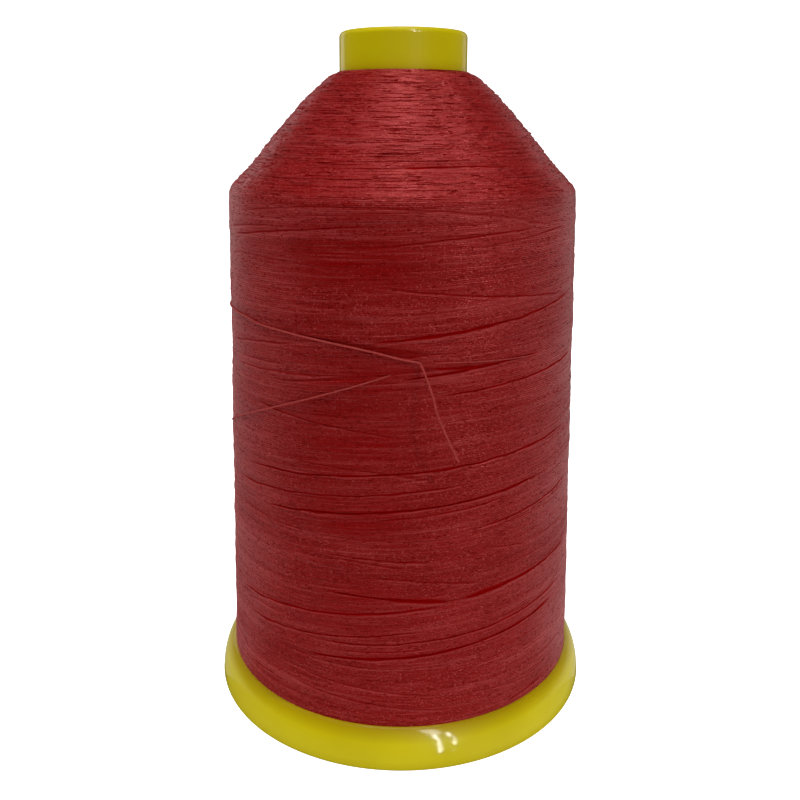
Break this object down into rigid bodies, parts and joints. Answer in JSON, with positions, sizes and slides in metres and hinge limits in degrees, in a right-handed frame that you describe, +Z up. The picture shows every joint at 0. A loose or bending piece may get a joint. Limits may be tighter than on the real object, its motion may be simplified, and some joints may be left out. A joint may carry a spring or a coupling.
{
  "type": "cone of sewing thread on a flanged spool",
  "caption": "Large flanged plastic spool wound with bonded sewing thread in a tall, slightly tapered body with a conical top, its loose end hanging from the last turn.",
  "frame": {"origin": "on the winding's axis, on the surface that the flange stands on", "axes": "+Z up along the winding's axis from the flange to the nose, -Y towards the front, where the thread's tail hangs"},
  "size_m": [0.089, 0.089, 0.1468],
  "materials": {
    "moulded_plastic": "semi-gloss moulded plastic, yellow",
    "wound_thread": "fine bonded thread wound turn by turn, dark red",
    "loose_thread": "twisted bonded thread, dark red"
  },
  "bodies": {
    "root": {"spool": "moulded_plastic", "thread_package": "wound_thread", "loose_end": "loose_thread"}
  },
  "joints": []
}
